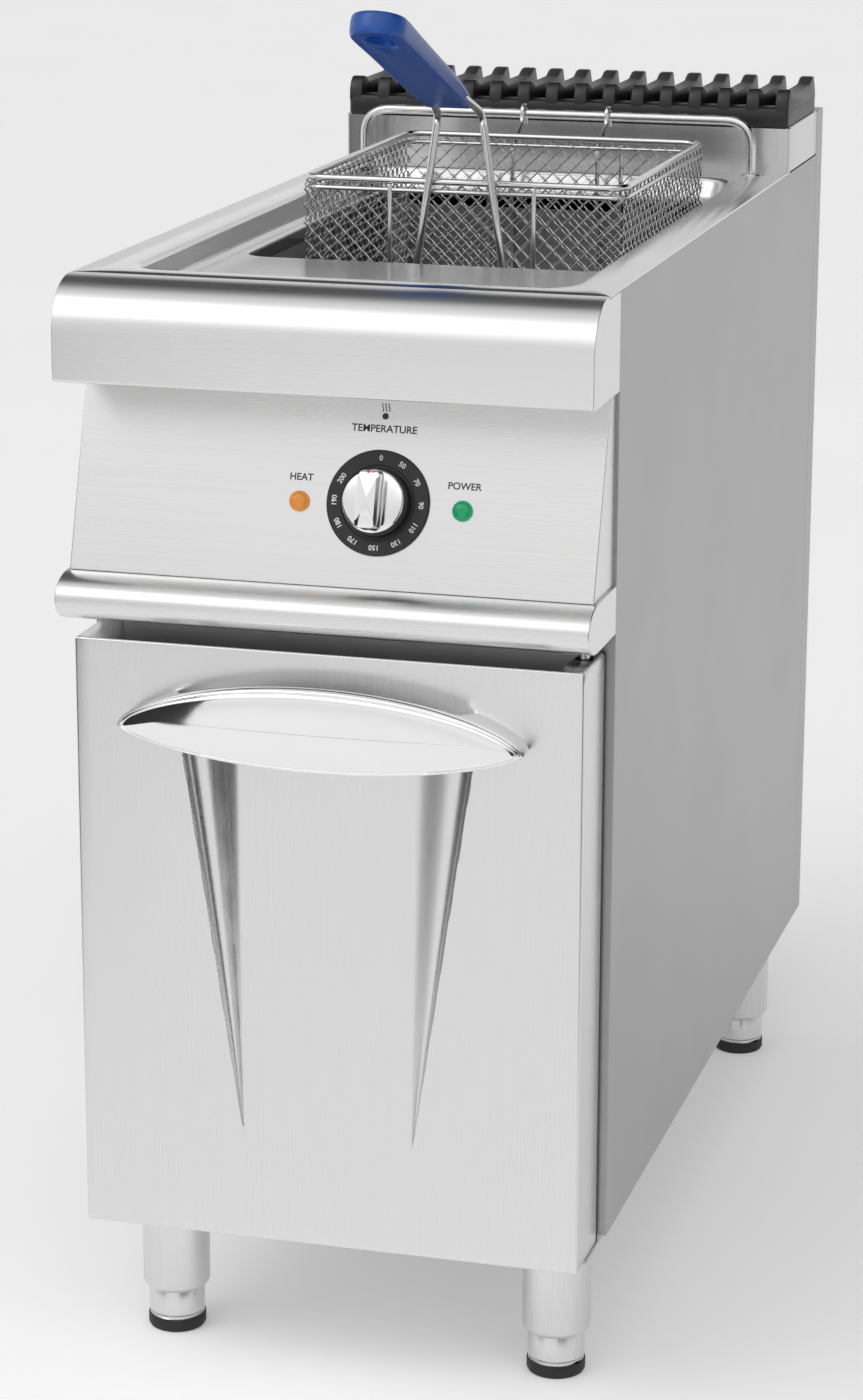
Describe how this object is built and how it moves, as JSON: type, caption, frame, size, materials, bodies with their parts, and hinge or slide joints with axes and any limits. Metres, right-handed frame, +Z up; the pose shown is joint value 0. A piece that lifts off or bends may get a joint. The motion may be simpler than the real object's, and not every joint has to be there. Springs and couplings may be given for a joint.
{
  "type": "floor-standing deep fryer",
  "caption": "Floor-standing electric deep fryer: steel cabinet with hinged door, sunken worktop and oil tank, lift-out wire basket, dial, flue grate and adjustable feet.",
  "frame": {"origin": "on the floor, under the middle of the object's overall width and depth", "axes": "+Z up, +Y towards the rear, +X to the right as seen from the door"},
  "size_m": [0.4, 0.926, 1.0377],
  "materials": {
    "stainless": "fine brushed",
    "inner_steel": "satin",
    "wire": "polished",
    "chrome": "mirror",
    "element": "heat darkened",
    "fastener": "turned",
    "brass": "plain",
    "iron": "satin enamel",
    "dial": "satin",
    "heat_lens": "clear amber",
    "power_lens": "clear green",
    "grip": "satin",
    "sleeve": "dipped",
    "black_plastic": "moulded",
    "ceramic": "glazed",
    "foot_steel": "satin",
    "rubber": "matt"
  },
  "bodies": {
    "cabinet": {"backguard": "stainless", "base_plate": "inner_steel", "basket_rail": "wire", "basket_rest_grid": "wire", "cable_gland": "black_plastic", "contactor": "black_plastic", "control_panel": "stainless", "dial_plate": "dial", "door_catch": "black_plastic", "drain_pipes": "inner_steel", "drain_valve_body": "brass", "element_head": "inner_steel", "fascia_roll": "stainless", "front_apron": "stainless", "header_rail": "inner_steel", "heat_lamp_lens": "heat_lens", "heating_elements": "element", "hinge_pins": "fastener", "lamp_bodies": "black_plastic", "left_side_panel": "stainless", "leg_tubes": "inner_steel", "lower_brackets": "inner_steel", "oil_tank": "inner_steel", "power_lamp_lens": "power_lens", "rail_flanges": "wire", "rear_panel": "stainless", "right_side_panel": "stainless", "terminal_block": "ceramic", "thermostat_body": "black_plastic", "thermostat_bulb": "wire", "upper_hinge_bracket": "inner_steel", "worktop": "stainless"},
    "door": {"door_skin": "stainless", "door_liner": "inner_steel", "hinge_bushes": "brass", "door_handle": "chrome", "handle_screws": "fastener", "catch_plate": "fastener"},
    "knob": {"knob_skirt": "dial", "knob_cap": "chrome", "knob_spindle": "fastener"},
    "basket": {"basket_mesh": "wire", "basket_rim": "wire", "basket_stiffeners": "wire", "basket_hooks": "wire", "handle_legs": "wire", "handle_grip": "grip"},
    "drain_lever": {"valve_stem": "fastener", "valve_lever": "fastener", "lever_sleeve": "sleeve"},
    "flue_grate": {"flue_grate": "iron"},
    "foot_front_left": {"foot_tube_front_left": "foot_steel", "foot_cap_front_left": "rubber"},
    "foot_front_right": {"foot_tube_front_right": "foot_steel", "foot_cap_front_right": "rubber"},
    "foot_rear_left": {"foot_tube_rear_left": "foot_steel", "foot_cap_rear_left": "rubber"},
    "foot_rear_right": {"foot_tube_rear_right": "foot_steel", "foot_cap_rear_right": "rubber"}
  },
  "joints": [
    {"name": "door_hinge", "type": "hinge", "parent": "cabinet", "child": "door", "pos_m": [0.183, -0.385, 0.354], "axis": [0, 0, 1], "range_deg": [0, 110]},
    {"name": "knob_turn", "type": "hinge", "parent": "cabinet", "child": "knob", "pos_m": [0.033, -0.40013, 0.69351], "axis": [0, 0.9532, -0.3023], "range_deg": [0, 270]},
    {"name": "basket_lift", "type": "slide", "parent": "cabinet", "child": "basket", "axis": [0, 0, 1], "range_m": [0, 0.25]},
    {"name": "drain_lever_turn", "type": "hinge", "parent": "cabinet", "child": "drain_lever", "pos_m": [0, -0.15, 0.54], "axis": [0, 1, 0], "range_deg": [0, 90]},
    {"name": "grate_lift", "type": "slide", "parent": "cabinet", "child": "flue_grate", "axis": [0, 0, 1], "range_m": [0, 0.06]},
    {"name": "foot_screw_front_left", "type": "slide", "parent": "cabinet", "child": "foot_front_left", "axis": [0, 0, 1], "range_m": [-0.025, 0]},
    {"name": "foot_screw_front_right", "type": "slide", "parent": "cabinet", "child": "foot_front_right", "axis": [0, 0, 1], "range_m": [-0.025, 0]},
    {"name": "foot_screw_rear_left", "type": "slide", "parent": "cabinet", "child": "foot_rear_left", "axis": [0, 0, 1], "range_m": [-0.025, 0]},
    {"name": "foot_screw_rear_right", "type": "slide", "parent": "cabinet", "child": "foot_rear_right", "axis": [0, 0, 1], "range_m": [-0.025, 0]}
  ]
}
